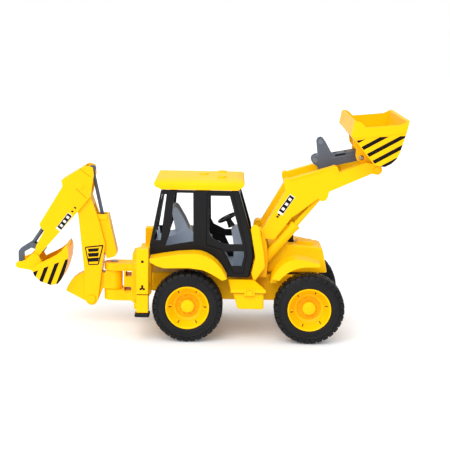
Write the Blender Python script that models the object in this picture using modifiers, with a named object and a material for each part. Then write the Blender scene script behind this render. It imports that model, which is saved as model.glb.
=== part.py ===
"""Toy backhoe loader: a 1:16 plastic model built from separate snapped-together parts.

Frame: +X towards the front loader, +Y to the machine's left, +Z up, ground at Z = 0.
The helpers below take millimetres and degrees; Blender's own units stay metres.
"""

from math import atan2, cos, pi, radians, sin

import bmesh
import bpy
from mathutils import Matrix, Vector

MM = 0.001
GAP = 0.3                      # clearance between neighbouring parts

# ---- driving dimensions, in millimetres -----------------------------------------------
TYRE_R = 42.0
TYRE_OUT = 75.0                # outer face of a tyre, from the middle plane
TYRE_IN = 47.0
RIM_R = 25.9
HUB_R = 8.0
REAR_AXLE = (-20.0, 42.0)      # X, Z
FRONT_AXLE = (124.0, 42.0)
KINGPIN_Y = 42.0
TIE_ROD_X = 106.0

CHASSIS_HALF = 25.6
CHASSIS_TOP = 73.2
CAB_HALF = 50.0
CAB_WALL = 2.5
CAB_TOP = 178.6
ROOF_HALF = 47.0
HOOD_HALF = 24.5
HOOD_HINGE = (141.0, 79.5)
DOOR_HINGE_X = 2.1

ARM_IN, ARM_OUT = 26.0, 38.0   # both faces of one loader arm
ARM_WALL = 2.0
ARM_PIVOT = (63.5, 126.5)
LIFT_FOOT = (70.0, 92.0)
LIFT_HEAD = (136.5, 173.0)
LIFT_BARREL = 58.5
BUCKET_PIVOT = (201.4, 205.5)
LINK_TAIL = (138.2, 198.6)
LINK_PIN = (183.3, 218.0)
BUCKET_HALF = 80.0
BUCKET_WALL = 2.5

RAIL_TOP = (84.5, 92.0)        # Z range of the rear frame's upper rail
RAIL_LOW = (36.0, 43.5)
STABILISER_Y = (61.0, 75.0)
STABILISER_X = (-80.0, -66.0)
SWING_X = -113.0
BOOM_PIVOT = (-140.0, 35.5)
BOOM_HALF = 13.0
DIPPER_PIVOT = (-153.0, 175.5)
DIPPER_HALF = 16.0
DIPPER_EYE = (-140.0, 195.5)
CASING_FOOT = (-117.5, 90.0)
DIG_PIVOT = (-209.0, 86.5)
DIG_EAR = (-228.0, 78.0)
ROCKER_PIVOT = (-201.0, 95.5)
ROCKER_HEAD = (-214.5, 100.5)
ROD_AIM = (-179.0, 153.0)      # a point well inside the dipper's casing
DIG_HALF = 24.0

# ---- scene, materials, collections ------------------------------------------------------
for old in list(bpy.data.objects):
    bpy.data.objects.remove(old, do_unlink=True)


def collection(name):
    made = bpy.data.collections.new(name)
    bpy.context.scene.collection.children.link(made)
    return made


PARTS = collection("toy_backhoe_loader")
CUTTERS = collection("cutters")


def material(name, colour, roughness, metallic=0.0):
    made = bpy.data.materials.new(name)
    made.use_nodes = True
    shader = made.node_tree.nodes["Principled BSDF"]
    shader.inputs["Base Color"].default_value = (*colour, 1.0)
    shader.inputs["Roughness"].default_value = roughness
    shader.inputs["Metallic"].default_value = metallic
    return made


YELLOW = material("yellow_plastic", (1.0, 0.62, 0.0), 0.35)
BLACK = material("black_plastic", (0.02, 0.02, 0.024), 0.4)
GREY = material("blue_grey_plastic", (0.14, 0.18, 0.24), 0.45)
RUBBER = material("tyre_rubber", (0.015, 0.015, 0.017), 0.75)
STEEL = material("steel", (0.6, 0.6, 0.6), 0.3, 1.0)


# ---- shape helpers ----------------------------------------------------------------------
def point(x, y, z):
    return Vector((x, y, z)) * MM


def mesh_object(name, mesh):
    made = bpy.data.objects.new(name, mesh)
    bpy.context.scene.collection.objects.link(made)
    return made


def face_out(bm):
    """Turn every face of a closed mesh outwards."""
    bmesh.ops.recalc_face_normals(bm, faces=bm.faces)
    if bm.calc_volume(signed=True) < 0:
        bmesh.ops.reverse_faces(bm, faces=bm.faces)


def from_bmesh(name, bm):
    face_out(bm)
    mesh = bpy.data.meshes.new(name)
    bm.to_mesh(mesh)
    bm.free()
    return mesh_object(name, mesh)


def block(name, x, y, z):
    """A box from three (low, high) pairs."""
    bm = bmesh.new()
    bmesh.ops.create_cube(bm, size=1.0)
    size = [abs(hi - lo) * MM for lo, hi in (x, y, z)]
    middle = [(lo + hi) / 2 * MM for lo, hi in (x, y, z)]
    bm.transform(Matrix.Translation(middle) @ Matrix.Diagonal((*size, 1.0)))
    return from_bmesh(name, bm)


def rod(name, start, end, radius, end_radius=None, sides=14, squash=1.0):
    """A round bar or cone between two points; squash flattens it sideways, along Y."""
    axis = end - start
    turn = axis.to_track_quat("Z", "Y").to_matrix().to_4x4()
    bm = bmesh.new()
    bmesh.ops.create_cone(bm, cap_ends=True, segments=sides, radius1=radius * MM,
                          radius2=(radius if end_radius is None else end_radius) * MM,
                          depth=axis.length)
    bm.transform(Matrix.Translation((start + end) / 2) @ turn)
    if squash != 1.0:
        centre = (start.y + end.y) / 2
        for vert in bm.verts:
            vert.co.y = centre + (vert.co.y - centre) * squash
    return from_bmesh(name, bm)


def pin(name, at, y, radius, sides=14):
    """A round bar along Y through the (X, Z) point."""
    return rod(name, point(at[0], y[0], at[1]), point(at[0], y[1], at[1]), radius, sides=sides)


def slab(name, outlines, span, normal="Y"):
    """A flat outline, with any holes after it, given the thickness of span.

    Outlines hold (X, Z) points for normal Y, (Y, Z) for X and (X, Y) for Z.
    """
    curve = bpy.data.curves.new(name, "CURVE")
    curve.dimensions = "2D"
    curve.fill_mode = "BOTH"
    curve.extrude = abs(span[1] - span[0]) / 2 * MM
    for outline in outlines:
        spline = curve.splines.new("POLY")
        spline.points.add(len(outline) - 1)
        for place, (u, v) in zip(spline.points, outline):
            place.co = (u * MM, v * MM, 0.0, 1.0)
        spline.use_cyclic_u = True
    flat = mesh_object(name + "_outline", curve)
    middle = (span[0] + span[1]) / 2 * MM
    if normal == "Y":
        flat.matrix_world = Matrix.Translation((0, middle, 0)) @ Matrix.Rotation(pi / 2, 4, "X")
    elif normal == "X":
        turn = Matrix.Rotation(pi / 2, 4, "Z") @ Matrix.Rotation(pi / 2, 4, "X")
        flat.matrix_world = Matrix.Translation((middle, 0, 0)) @ turn
    else:
        flat.matrix_world = Matrix.Translation((0, 0, middle))
    bpy.context.view_layer.update()
    evaluated = flat.evaluated_get(bpy.context.evaluated_depsgraph_get())
    mesh = bpy.data.meshes.new_from_object(evaluated)
    bm = bmesh.new()
    bm.from_mesh(mesh)
    bmesh.ops.remove_doubles(bm, verts=bm.verts, dist=0.00001)
    face_out(bm)
    bm.to_mesh(mesh)
    bm.free()
    solid = mesh_object(name, mesh)
    solid.matrix_world = flat.matrix_world.copy()
    bpy.data.objects.remove(flat, do_unlink=True)
    return solid


def arc(centre, radius, start, end, steps=8):
    """Points on a circle, from one angle to another in degrees, both ends included."""
    turns = [radians(start + (end - start) * i / steps) for i in range(steps + 1)]
    return [(centre[0] + radius * cos(t), centre[1] + radius * sin(t)) for t in turns]


def lathe(name, profile, origin, sides=30):
    """A body turned about an axis along Y; profile holds (radius, distance along Y)."""
    mesh = bpy.data.meshes.new(name)
    verts = [(r * MM, 0.0, -y * MM) for r, y in profile]
    edges = [(i, (i + 1) % len(verts)) for i in range(len(verts))]
    if profile[0][0] == 0.0 and profile[-1][0] == 0.0:
        edges.pop()
    mesh.from_pydata(verts, edges, [])
    turned = mesh_object(name, mesh)
    screw = turned.modifiers.new("Screw", "SCREW")
    screw.steps = sides
    screw.render_steps = sides
    screw.use_merge_vertices = True
    screw.merge_threshold = 0.00001
    screw.use_normal_calculate = True
    turned.matrix_world = Matrix.Translation(point(*origin)) @ Matrix.Rotation(pi / 2, 4, "X")
    return turned


def baked(thing):
    """The evaluated mesh as a plain object, faces pointing out."""
    bpy.context.view_layer.update()
    evaluated = thing.evaluated_get(bpy.context.evaluated_depsgraph_get())
    mesh = bpy.data.meshes.new_from_object(evaluated)
    mesh.transform(thing.matrix_world)
    name = thing.name
    bpy.data.objects.remove(thing, do_unlink=True)
    bm = bmesh.new()
    bm.from_mesh(mesh)
    face_out(bm)
    bm.to_mesh(mesh)
    bm.free()
    return mesh_object(name, mesh)


def bevel(thing, width, segments=1, limit=40):
    made = thing.modifiers.new("Bevel", "BEVEL")
    made.width = width * MM
    made.segments = segments
    made.limit_method = "ANGLE"
    made.angle_limit = radians(limit)
    return thing


def boolean(thing, others, operation):
    for other in others:
        made = thing.modifiers.new(operation.title(), "BOOLEAN")
        made.operation = operation
        made.solver = "EXACT"
        made.object = other
        bpy.context.scene.collection.objects.unlink(other)
        CUTTERS.objects.link(other)
        other.hide_render = True
        other.display_type = "WIRE"
    return thing


def cut(thing, *others):
    return boolean(thing, others, "DIFFERENCE")


def join(thing, *others):
    return boolean(thing, others, "UNION")


def pivot(name, x, y, z, parent=None):
    """An empty on a moving body's joint axis."""
    empty = bpy.data.objects.new(name, None)
    PARTS.objects.link(empty)
    empty.location = point(x, y, z)
    if parent:
        bpy.context.view_layer.update()
        empty.parent = parent
        empty.matrix_parent_inverse = parent.matrix_world.inverted()
    return empty


def finish(thing, look, holder=None, smooth=True):
    """Put a finished part in the object's collection, on its body."""
    bpy.context.scene.collection.objects.unlink(thing)
    PARTS.objects.link(thing)
    thing.data.materials.clear()
    thing.data.materials.append(look)
    if smooth:
        thing.data.shade_smooth()
        thing.data.set_sharp_from_angle(angle=radians(35))
    if holder:
        bpy.context.view_layer.update()
        thing.parent = holder
        thing.matrix_parent_inverse = holder.matrix_world.inverted()
    return thing


def mirrored(y, side):
    """A (low, high) pair of distances from the middle plane, on one side of it."""
    return tuple(sorted((y[0] * side, y[1] * side)))


SIDES = (("right", -1), ("left", 1))


# ---- chassis, axles and engine ----------------------------------------------------------
def chassis_frame():
    """An upturned moulded tub with cross ribs, narrow enough to pass between the wheels."""
    side = [(-65.5, 50), (-65.5, CHASSIS_TOP), (138, CHASSIS_TOP), (138, 56), (134, 52),
            (-40, 52), (-44, 50)]
    belly = [(92, 54), (85, 41.5), (5, 41.5), (-2, 54)]
    tub = slab("chassis_frame", [side], (-CHASSIS_HALF, CHASSIS_HALF))
    bevel(tub, 1.5)
    join(tub, slab("belly", [belly], (-CHASSIS_HALF + 0.2, CHASSIS_HALF - 0.2)))
    ribs = (-63.0, -38.0, -2.0, 34.0, 70.0, 106.0, 135.5)
    hollows = [block("tub_hollow", (a + 1.2, b - 1.2), (-CHASSIS_HALF + 2.2, CHASSIS_HALF - 2.2),
                     (30, CHASSIS_TOP - 2.4)) for a, b in zip(ribs, ribs[1:])]
    arch = pin("axle_arch", REAR_AXLE, (-40, 40), 14.5)
    cut(tub, *hollows, arch)
    return finish(tub, YELLOW)


def rear_axle():
    """Steel-coloured stub ends in one moulding with the tubular casing and round gearbox."""
    casing = pin("rear_axle", REAR_AXLE, (-40, 40), 6.0)
    join(casing, pin("gearbox", REAR_AXLE, (-9, 9), 13.0),
         pin("stubs", REAR_AXLE, (-62, 62), 3.0),
         block("saddle_right", (-25, -15), (-33, -26.4), (42, 60)),
         block("saddle_left", (-25, -15), (26.4, 33), (42, 60)))
    return finish(casing, GREY)


def front_axle_beam():
    """A beam with an upright boss at each end for the steering knuckle's kingpin."""
    x, z = FRONT_AXLE
    beam = block("front_axle_beam", (x - 5, x + 5), (-38, 38), (z - 5, z + 5))
    bevel(beam, 1.2)
    join(beam, block("beam_hanger", (x - 8, x + 8), (-10, 10), (z + 3, 51.7)))
    for name, side in SIDES:
        y = KINGPIN_Y * side
        join(beam, rod("kingpin_boss", point(x, y, z - 7), point(x, y, z + 7), 5.5))
    for name, side in SIDES:
        y = KINGPIN_Y * side
        cut(beam, rod("kingpin_bore", point(x, y, z - 9), point(x, y, z + 9), 2.7))
    return finish(beam, GREY)


def engine_block():
    """The engine seen when the hood is open: block, head, sump flange and front pulley."""
    engine = block("engine_block", (86, 124), (-13, 13), (74, 90))
    bevel(engine, 1.0, 1)
    join(engine, block("head", (88, 122), (-9, 9), (89, 98)),
         rod("pulley", point(123, 0, 84), point(128, 0, 84), 6.5),
         rod("filter", point(94, 12, 82), point(94, 18, 82), 4.0))
    join(engine, block("mounting_foot", (84, 126), (-17, 17), (CHASSIS_TOP + GAP, 76)))
    return finish(engine, GREY)


def exhaust_stack(holder):
    stack = rod("exhaust_stack", point(103.5, -4, 110.9), point(103.5, -4, 121), 3.0)
    join(stack, rod("flange", point(103.5, -4, 110.9), point(103.5, -4, 112.2), 4.2))
    cut(stack, rod("mouth", point(103.5, -4, 117), point(103.5, -4, 123), 2.1))
    return finish(stack, BLACK, holder)


# ---- wheels -----------------------------------------------------------------------------
def tyre(name, axle, side, holder):
    """A fat ring; its bore sits just clear of the rim."""
    half = (TYRE_OUT - TYRE_IN) / 2
    bore = RIM_R + GAP
    profile = [(bore, -half + 1.0), (36.5, -half), (40.3, -half + 1.6), (TYRE_R, -half + 4.5),
               (TYRE_R, half - 4.5), (40.3, half - 1.6), (36.5, half), (bore, half - 1.0)]
    centre_y = (TYRE_OUT + TYRE_IN) / 2 * side
    ring = baked(lathe(name, profile, (axle[0], centre_y, axle[1])))
    return finish(ring, RUBBER, holder)


def rim(name, axle, side, holder):
    """A deep dished rim with a raised hub cap outside and a blind bore inside."""
    out = TYRE_OUT - 1.0
    profile = [(0, out - 8.0), (HUB_R, out - 8.0), (HUB_R, out - 11.0), (19.5, out - 8.0),
               (24.2, out), (RIM_R, out), (RIM_R, TYRE_IN + 2), (23.2, TYRE_IN + 2),
               (21.8, out - 10.5), (8, out - 13.5), (8, out - 19.0), (3.4, out - 19.0),
               (3.4, out - 10.5), (0, out - 10.5)]
    profile = [(r, y * side) for r, y in profile]
    if side > 0:
        profile.reverse()
    turned = baked(lathe(name, profile, (axle[0], 0, axle[1]), 24))
    return finish(turned, YELLOW, holder)


def wheel(place, axle, name, side, parent=None):
    spin = pivot(f"{place}_wheel_{name}_axis", axle[0], (TYRE_OUT + TYRE_IN) / 2 * side,
                 axle[1], parent)
    tyre(f"{place}_tyre_{name}", axle, side, spin)
    rim(f"{place}_rim_{name}", axle, side, spin)


def steering_knuckle(name, side):
    """A fork round the axle boss, with its kingpin, stub axle and steering arm."""
    x, z = FRONT_AXLE
    y = KINGPIN_Y * side
    turn = pivot(f"knuckle_{name}_axis", x, y, z)
    fork = block(f"steering_knuckle_{name}", (x - 5, x + 5), mirrored((48, 51), side),
                 (z - 9.4, z + 9.4))
    ears = [block("ear", (x - 5, x + 5), mirrored((38, 49), side), span)
            for span in ((z + 7.3, z + 9.4), (z - 9.4, z - 7.3))]
    join(fork, *ears, rod("kingpin", point(x, y, z - 8), point(x, y, z + 8), 2.3),
         pin("stub_axle", FRONT_AXLE, mirrored((50, 62), side), 3.0),
         block("steering_arm", (TIE_ROD_X - 2.5, x - 4), mirrored((39.5, 44.5), side),
               (z - 9.4, z - 7.3)),
         rod("arm_pin", point(TIE_ROD_X, y, z - 12.4), point(TIE_ROD_X, y, z - 8), 1.3, sides=12))
    finish(fork, GREY, turn)
    return turn


def tie_rod():
    """The bar that ties both steering arms together, with a roomy eye at each end."""
    z = FRONT_AXLE[1] - 9.7
    slide = pivot("tie_rod_axis", TIE_ROD_X, 0, z - 1)
    bar = block("tie_rod", (TIE_ROD_X - 2, TIE_ROD_X + 2), (-40, 40), (z - 2.4, z))
    for name, side in SIDES:
        y = KINGPIN_Y * side
        join(bar, rod("eye", point(TIE_ROD_X, y, z - 2.4), point(TIE_ROD_X, y, z), 4.2))
    for name, side in SIDES:
        y = KINGPIN_Y * side
        cut(bar, rod("eye_hole", point(TIE_ROD_X, y, z - 4), point(TIE_ROD_X, y, z + 2), 2.3))
    return finish(bar, GREY, slide)


# ---- bodywork ---------------------------------------------------------------------------
def rear_fender(name, side):
    """An arched mudguard, hollow underneath, with a deep outer lip."""
    top = [(-65.2, 100.4), (-49, 103.6), (-31, 106.4), (-13, 107.6), (-5, 107), (2, 104.6),
           (9, 100.6), (15, 95.6), (19.5, 90), (23.5, 83.6), (26.3, 78)]
    low = [(20.5, 76), (15, 79.5), (9, 83), (3, 86), (-3, 88.4), (-18, 90.4), (-34, 90),
           (-48, 89.6), (-57, 92.4), (-64, 96.4)]
    inner = [(x, z - 3.0) for x, z in top]
    guard = slab(f"rear_fender_{name}", [top + low], mirrored((50.4, 76), side))
    bevel(guard, 2.2, 2, 60)
    under = [(-70, 96), *inner[:-1], (22, 74), (10, 70), (-70, 70)]
    cut(guard, slab("under_guard", [under], mirrored((46, 73.6), side)))
    return finish(guard, YELLOW)


def front_fender(name, side):
    """A short arched mudguard carried on a bracket from the chassis side."""
    outline = [(79, 79), (81.5, 84.5), (85.5, 90.5), (91, 96), (97.5, 100.3), (104.5, 102.6),
               (112, 102.6), (123, 100.6), (135, 97.6), (135, 94), (121, 94), (112, 92.8),
               (104, 90.2), (97, 86.3), (91, 81), (87.5, 77)]
    guard = slab(f"front_fender_{name}", [outline], mirrored((46.5, 74), side))
    under = [(83, 70), (86.5, 85.5), (92, 92.4), (99, 97), (106, 99.4), (123, 97.4), (140, 94.2),
             (140, 70)]
    cut(guard, slab("under_guard", [under], mirrored((44, 71.8), side)))
    join(guard, slab("bracket", [[(77.5, 68), (86, 68), (87.5, 77.4), (79.6, 77.4)]],
                     mirrored((26.4, 48.5), side)),
         slab("stay", [[(79, 74), (87.2, 74), (87.6, 78), (86.5, 82), (79.8, 80.2)]],
              mirrored((39.6, 48.2), side)))
    return finish(guard, YELLOW)


def side_box(name, side):
    """The stepped box slung between the wheels, with a sloping lid and a latch block."""
    body = slab(f"side_box_{name}", [[(33, 62), (70, 62), (70, 41), (39.5, 41)]],
                mirrored((26.4, 70.6), side))
    bevel(body, 1.2)
    lid = [(x, y * side, z) for x, y, z in (
        (31, 73, 61.4), (72, 73, 61.4), (31, 73, 65), (72, 73, 65),
        (28, 55, 72.6), (58.4, 55, 72.6), (28, 51, 72.6), (58.4, 51, 72.6),
        (30, 51, 61.4), (68, 51, 61.4))]
    bm = bmesh.new()
    for place in lid:
        bm.verts.new(point(*place))
    bmesh.ops.convex_hull(bm, input=bm.verts)
    join(body, from_bmesh("lid", bm),
         block("latch", (47, 59), mirrored((70, 74.2), side), (57.8, 66)))
    return finish(body, YELLOW)


def hood():
    """The engine cover, open underneath and at the back, hinged at its nose."""
    turn = pivot("hood_axis", HOOD_HINGE[0], 0, HOOD_HINGE[1])
    side = [(75, 76.4), (75, 111), (100, 110.6), (118, 109.4), (136, 107.6), (139.8, 106.4),
            (141.8, 103), (147, 78), (146.6, 76.4)]
    shell = slab("hood", [side], (-HOOD_HALF, HOOD_HALF))
    bevel(shell, 2.6, 2, 50)
    hump = slab("hump", [[(107, 106), (110, 112.8), (130, 111.6), (133.5, 105)]], (-12, 12))
    bevel(hump, 1.5)
    inner = [(60, 70), (60, 108.6), (100, 108.2), (118, 107), (136, 105.2), (139.6, 102),
             (144.4, 79), (144.4, 70)]
    cut(join(shell, hump),
        slab("engine_bay", [inner], (-HOOD_HALF + 2.2, HOOD_HALF - 2.2)))
    finish(shell, YELLOW, turn)
    return turn


def cab_outline(inset=0.0, top=CAB_TOP):
    """The cab's side outline; inset moves every edge inwards by about that much."""
    i = inset
    return [(-53.5 + i, top), (-66.5 + i, 112), (-67 + i, 93.6 + i), (13.5, 93.6 + i),
            (25, 74.6 + i), (53 - i, 74.6 + i), (58 - i, 100), (54.8 - i, 124),
            (38.4 - i, top)]


def cab_frame():
    """One black moulding: pillars, window frames and lower sides, open at the top."""
    shell = slab("cab_frame", [cab_outline()], (-CAB_HALF, CAB_HALF))
    bevel(shell, 1.6, 1, 25)
    room = cab_outline(CAB_WALL + 0.1)
    room[0] = (room[0][0], CAB_TOP + 6)
    room[-1] = (room[-1][0], CAB_TOP + 6)
    quarter = [(-52.2, 173.5), (-46.8, 173.5), (-53.5, 118), (-61.5, 118)]
    rear_side = [(-37.5, 175.5), (-15.5, 175.5), (-14.5, 117.5), (-47.5, 111.5), (-42, 129)]
    door = [(0.5, 175.7), (31.8, 175.7), (47.2, 118), (49.6, 100), (45.2, 79.5), (33.6, 79.5),
            (19, 108), (0.5, 113.5)]
    rear = [(-38, 118), (38, 118), (36, 172), (-36, 172)]
    front = [(-42, 108), (42, 108), (39, 173), (-39, 173)]
    cut(shell, slab("room", [room], (-CAB_HALF + CAB_WALL, CAB_HALF - CAB_WALL)),
        *[slab("side_opening", [outline], (-60, 60)) for outline in (quarter, rear_side, door)],
        slab("rear_window", [rear], (-75, -48), "X"),
        slab("front_window", [front], (30, 64), "X"),
        block("rear_floor_gap", (-60, 8), (-30, 30), (90, 97.2)))
    return finish(shell, BLACK)


def door(name, side):
    """A framed door on the middle pillar, with an upper and a lower opening."""
    turn = pivot(f"door_{name}_axis", DOOR_HINGE_X, (CAB_HALF - 1.2) * side, 140)
    frame = [(1.2, 175.2), (31.4, 175.2), (46.7, 118), (49.1, 100), (44.8, 79.9), (33.9, 79.9),
             (19.4, 108.4), (1.2, 113.9)]
    upper = [(3.4, 172.6), (27.8, 172.6), (43, 118.2), (43.6, 114.8), (22, 114.8), (8, 121.5),
             (4.4, 128)]
    lower = [(22.6, 106), (45.4, 106.4), (46, 101), (43.2, 88.6), (31.4, 88.4)]
    panel = slab(f"door_{name}", [frame, upper, lower], mirrored((47.8, 49.9), side))
    finish(panel, BLACK, turn)


def cab_roof():
    """A thick roof with rounded ends and edges, three low lamp seats and a hollow underside."""
    side = [(-53, 179), (-60.5, 182.2), (-62.3, 185.6), (-60.8, 188.8), (-56, 190.6), (-20, 191.3),
            (22, 191.6), (38, 191.2), (43.4, 189.4), (45.2, 186.2), (43, 182.8), (37, 179)]
    half = ROOF_HALF + 2.6
    section = [(-half, 181.6), (half, 181.6), (half, 184.6), (ROOF_HALF, 187.6), (40, 189.8),
               (25, 191.2), (0, 191.6), (-25, 191.2), (-40, 189.8), (-ROOF_HALF, 187.6),
               (-half, 184.6)]
    roof = slab("cab_roof", [side], (-half, half))
    bevel(roof, 2.6, 2, 70)
    above = [(-60, 184.6), *section[:1:-1], (60, 184.6), (60, 200), (-60, 200)]
    cut(roof, slab("crown", [above], (-70, 60), "X"))
    for place in ((18, -22), (18, 22), (-4, 0)):
        seat = rod("lamp_seat", point(*place, 187), point(*place, 192.9), 6.0, 5.2, 20)
        join(roof, seat)
    cut(roof, block("underside", (-48, 32), (-42, 42), (170, 185.6)))
    return finish(roof, YELLOW)


def cab_interior():
    """The grey tray moulded with its dash, seat plinth and both control consoles."""
    tray = block("cab_interior", (-62.5, 15), (-46.8, 46.8), (97.6, 100))
    dash = [(33.5, 78), (33.5, 105), (30.4, 124), (33, 127.8), (37.5, 128.4), (43.5, 118),
            (49.6, 103), (50.4, 97), (49.6, 78)]
    side_console = [(-7, 99), (-6.4, 113), (-2.5, 116), (2.2, 114.6), (3.4, 110), (6.4, 108.4),
                    (7.2, 99)]
    rear_console = [(-62, 99), (-62, 110.5), (-58.5, 113.4), (-54.8, 112.2), (-54, 99)]
    join(tray, slab("step", [[(13, 99.6), (14.2, 96.8), (25.6, 77.7), (29, 77.7), (16.4, 99.6)]],
                    (-46.6, 46.6)),
         block("floor", (26, 49.4), (-46.8, 46.8), (77.5, 79.6)),
         slab("dash", [dash], (-9, 9)),
         block("plinth", (-48, -16), (-14, 14), (99, 104.6)),
         slab("side_console", [side_console], (-44, -27)),
         slab("side_console_left", [side_console], (27, 44)),
         slab("rear_console", [rear_console], (-22, 22)))
    for y in (-12, 12):
        join(tray, rod("lever", point(-58, y, 111), point(-59.5, y, 123), 1.1, sides=10))
    return finish(tray, GREY)


def driver_seat():
    """A plastic bucket seat: tapering back with side wings, and a deep cushion."""
    back = [(-38.5, 112), (-36.6, 121), (-41.8, 146), (-42, 150.4), (-40.4, 152.6), (-37, 152.8),
            (-34.6, 150.4), (-26, 136), (-20.6, 124), (-20.6, 119)]
    seat = slab("driver_seat", [[(-47.4, 105), (-47.4, 115.6), (-45.4, 117.4), (-37, 120),
                                 (-31, 124.2), (-17.2, 124.8), (-15.4, 122), (-15.4, 110),
                                 (-19, 105)]], (-18.5, 18.5))
    bevel(seat, 1.2, 2)
    rest = slab("backrest", [back], (-17.5, 17.5))
    hollow = [(-36.6, 170), (-38.2, 148.5), (-34.4, 126), (-14, 125.4), (-14, 170)]
    join(seat, cut(rest, slab("between_wings", [hollow], (-12.5, 12.5))))
    return finish(seat, GREY)


def steering_wheel():
    """A three-spoke wheel on a tapering column head, tilted towards the driver."""
    lean = Vector((-sin(radians(27)), 0, cos(radians(27))))
    hub = point(25.2, 0, 138.2)
    turn = pivot("steering_axis", *(hub / MM))
    bpy.ops.mesh.primitive_torus_add(major_segments=20, minor_segments=6,
                                     major_radius=11.5 * MM, minor_radius=1.6 * MM)
    ring = bpy.context.object
    for owner in list(ring.users_collection):
        owner.objects.unlink(ring)
    bpy.context.scene.collection.objects.link(ring)
    ring.name = "steering_wheel"
    ring.data.transform(lean.to_track_quat("Z", "Y").to_matrix().to_4x4())
    ring.location = hub
    bpy.context.view_layer.update()
    wheel_mesh = baked(ring)
    join(wheel_mesh, rod("hub", hub - lean * 4 * MM, hub + lean * 1.6 * MM, 3.6))
    for angle in (90, 210, 330):
        across = Vector((0, cos(radians(angle)), sin(radians(angle))))
        across = lean.to_track_quat("Z", "Y") @ Vector((across.y, across.z, 0))
        join(wheel_mesh, rod("spoke", hub + across * 2 * MM, hub + across * 11.6 * MM, 1.1, sides=8))
    join(wheel_mesh, rod("column", hub - lean * 12 * MM, hub - lean * 3 * MM, 4.6, 3.0))
    return finish(wheel_mesh, BLACK, turn)


# ---- front loader -----------------------------------------------------------------------
# X and Z round the top of a tower's outer wall; the left one stops under the side window.
TOWER_HEAD = {
    "right": [(63.4, 134.6), (61.6, 138), (58.2, 139.6), (55, 138), (53.4, 134)],
    "left": [(67, 116.6), (65.4, 119.4), (62, 120.6), (58.8, 119.6), (57.4, 117)],
}


def loader_tower(name, side):
    """A bracket of three walls: the arm and its lift cylinder swing between the inner two."""
    outer = [(57.4, 73.2), (60.6, 73.2), (71, 89), (69.2, 105.5)]
    outer += TOWER_HEAD[name]
    outer += [(59.4, 100.3), (55.2, 81)]
    inner = [(59.6, CHASSIS_TOP + GAP), (73.6, CHASSIS_TOP + GAP), (74.6, 92), (73.2, 112),
             *arc(ARM_PIVOT, 5.4, 0, 180, 8), (57.2, 118), (60.6, 101), (60, 88)]
    low_web = [(60.0, CHASSIS_TOP + 0.6), (62.4, CHASSIS_TOP + 0.6), (62.8, 88), (63, 99),
               (60.8, 99), (60.4, 88)]
    high_web = [(60.2, 80), (62.6, 80), (63, 88), (63.2, 101), (61.2, 112), (58.9, 112),
                (60.9, 101), (60.6, 88)]
    tower = slab(f"loader_tower_{name}", [outer], mirrored((50.5, 54), side))
    join(tower, slab("bearing_wall", [inner], mirrored((38.4, 41), side)),
         slab("inner_wall", [inner], mirrored((22.8, 25.6), side)),
         slab("low_web", [low_web], mirrored((23.4, 40.4), side)),
         slab("high_web", [high_web], mirrored((39.6, 52), side)),
         block("base", (60.4, 73), mirrored((23.6, 40), side), (CHASSIS_TOP + 0.8, 76.4)),
         pin("lift_pin", LIFT_FOOT, mirrored((24, 40), side), 2.2))
    cut(tower, pin("bore", ARM_PIVOT, mirrored((20, 45), side), 3.6))
    return finish(tower, YELLOW)


def loader_arms():
    """Both channel-shaped arms with the cross plate and moulded pivot studs."""
    turn = pivot("loader_arm_axis", ARM_PIVOT[0], 0, ARM_PIVOT[1])
    outline = [*arc(ARM_PIVOT, 5.4, 50, 270, 9), (81.7, 119.3), (102, 146.3), (112, 153.4),
               (123, 162.2), (132.6, 169.8), (135, 167.3), (138.2, 166.4), (141.6, 167.6),
               (144, 171), (145.6, 178.1), (195.3, 200.6), *arc(BUCKET_PIVOT, 6.0, 250, 430, 7),
               (188.2, 213.6), (157, 201.6), (154, 208.3), (151, 209.2), (146.6, 207.5),
               (98.4, 192.4), (94.6, 193), (91.8, 191.2), (91.6, 187), (93.9, 178.1)]
    channel = [(74.5, 112), (75.6, 139), (96.4, 176.8), (95.4, 183), (96, 189.2),
               (141.4, 203.4), (148.6, 190), (150, 160), (112, 120)]
    nose = [(152.4, 166), (151.4, 193.2), (156.4, 198), (187, 210.6), (191, 203), (189, 170)]
    arms = None
    for name, side in SIDES:
        arm = slab("loader_arms", [outline], mirrored((ARM_IN, ARM_OUT), side))
        hollow = mirrored((ARM_IN + ARM_WALL, ARM_OUT - ARM_WALL), side)
        cut(arm, slab("channel", [channel], hollow), slab("nose_channel", [nose], hollow))
        join(arm, pin("stud", ARM_PIVOT, mirrored((23.2, 40.6), side), 3.2))
        arms = join(arms, arm) if arms else arm
    join(arms, slab("cross_plate", [[(157, 187), (160.4, 188.4), (164.6, 197.6), (161, 198.4)]],
                    (-27, 27)))
    cut(arms, pin("pivot_bore", BUCKET_PIVOT, (-45, 45), 2.8))
    finish(arms, YELLOW, turn)
    return turn


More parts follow.
